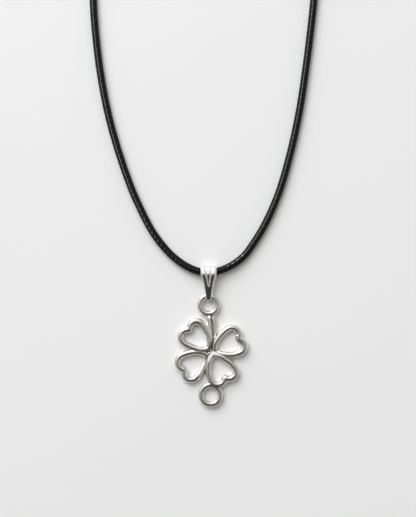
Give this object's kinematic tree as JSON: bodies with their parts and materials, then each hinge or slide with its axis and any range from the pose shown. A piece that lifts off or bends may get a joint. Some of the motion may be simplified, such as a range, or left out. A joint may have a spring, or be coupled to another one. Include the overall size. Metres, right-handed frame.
{
  "type": "four leaf clover pendant on a cord",
  "caption": "Openwork four leaf clover charm with a ring at each end, hung by a fluted pinch bail on a closed loop of round black cord with a barrel clasp.",
  "frame": {"origin": "under the centre of the clover, on the surface that its flat back lies on", "axes": "+Y from the clover up to the bail and the cord, +Z out of the front face, +X to the right seen from the front"},
  "size_m": [0.0621, 0.2065, 0.0044],
  "materials": {
    "black_cord": "fine waxed braid, satin sheen",
    "clasp_metal": "polished plating",
    "bail_metal": "polished plating over pressed strip",
    "charm_metal": "plated casting, softly polished"
  },
  "bodies": {
    "root": {"cord": "black_cord", "clasp": "clasp_metal", "bail": "bail_metal", "clover": "charm_metal"}
  },
  "joints": []
}
